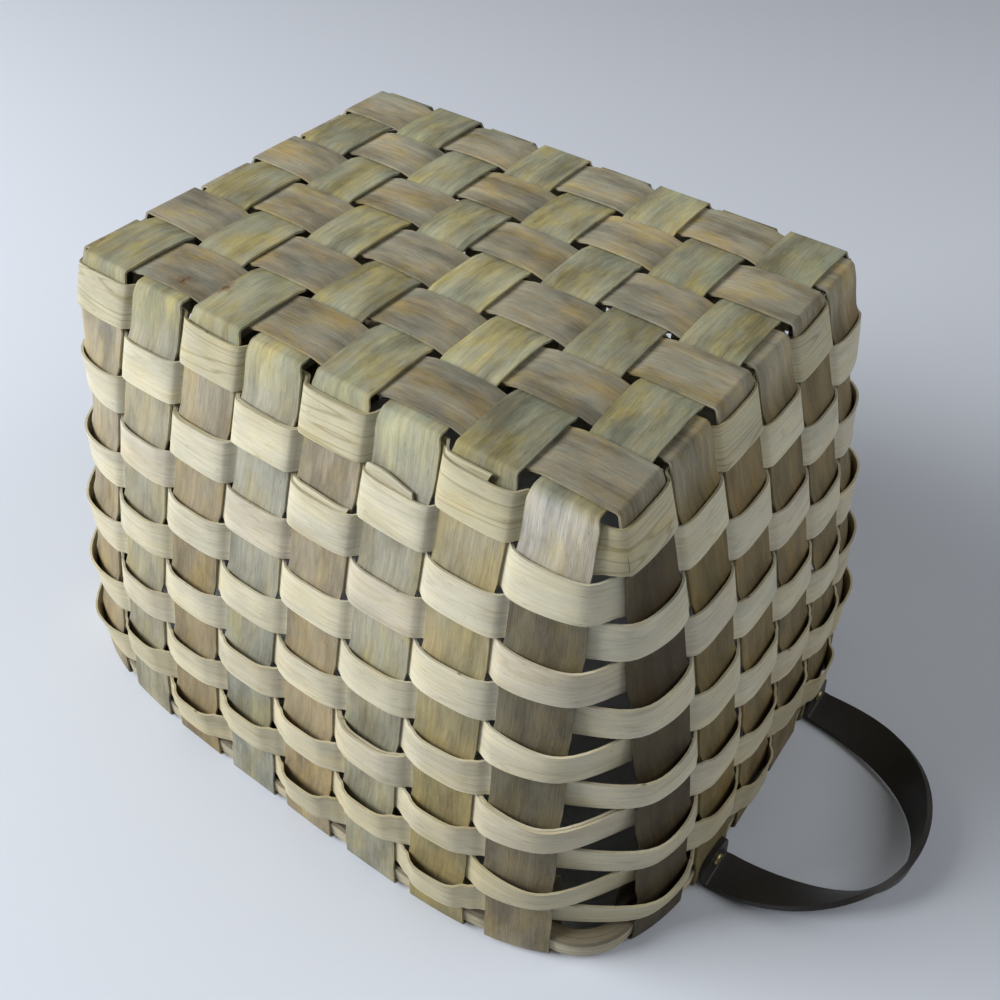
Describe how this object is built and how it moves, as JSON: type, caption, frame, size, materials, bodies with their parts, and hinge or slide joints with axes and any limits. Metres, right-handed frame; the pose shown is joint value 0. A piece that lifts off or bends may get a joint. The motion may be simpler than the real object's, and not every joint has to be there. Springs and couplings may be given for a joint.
{
  "type": "splint basket",
  "caption": "Rectangular basket plaited from wide wooden splints, flared to a round-cornered mouth with a bent hoop, and leather strap loops riveted to its ends.",
  "frame": {"origin": "centre of the mouth, on the plane that its folded edge rests on; the basket is modelled as it stood, upside down, and is turned over for use", "axes": "+X along the long side towards the right-hand leather loop, +Y along the short side, +Z from the mouth to the plaited base"},
  "size_m": [0.457, 0.2712, 0.2056],
  "materials": {
    "stake_splint": "weathered split wood, matt",
    "weaver_splint": "pale split wood, matt with a faint sheen",
    "hoop_wood": "riven wood, rough on its upper edge",
    "strap_leather": "dark worn leather, soft sheen",
    "rivet_brass": "dull brass"
  },
  "bodies": {
    "basket": {"cross_stake_1": "stake_splint", "cross_stake_2": "stake_splint", "cross_stake_3": "stake_splint", "cross_stake_4": "stake_splint", "cross_stake_5": "stake_splint", "cross_stake_6": "stake_splint", "cross_stake_7": "stake_splint", "cross_stake_8": "stake_splint", "long_stake_1": "stake_splint", "long_stake_2": "stake_splint", "long_stake_3": "stake_splint", "long_stake_4": "stake_splint", "long_stake_5": "stake_splint", "long_stake_6": "stake_splint", "weaver_row_01": "weaver_splint", "weaver_row_02": "weaver_splint", "weaver_row_03": "weaver_splint", "weaver_row_04": "weaver_splint", "weaver_row_05": "weaver_splint", "weaver_row_06": "weaver_splint", "weaver_row_07": "weaver_splint", "weaver_row_08": "weaver_splint", "weaver_row_09": "weaver_splint", "weaver_row_10": "weaver_splint", "weaver_row_11": "weaver_splint", "rim_hoop": "hoop_wood", "strap_end_right_front": "strap_leather", "strap_end_right_back": "strap_leather", "strap_end_left_front": "strap_leather", "strap_end_left_back": "strap_leather", "handle_rivets": "rivet_brass", "rivet_burrs": "rivet_brass"},
    "handle_right": {"strap_loop_right": "strap_leather"},
    "handle_left": {"strap_loop_left": "strap_leather"}
  },
  "joints": [
    {"name": "right_handle_swing", "type": "hinge", "parent": "basket", "child": "handle_right", "pos_m": [0.16369, 0, 0.0024], "axis": [0, -1, 0], "range_deg": [-90, 75]},
    {"name": "left_handle_swing", "type": "hinge", "parent": "basket", "child": "handle_left", "pos_m": [-0.16369, 0, 0.0024], "axis": [0, 1, 0], "range_deg": [-90, 75]}
  ]
}
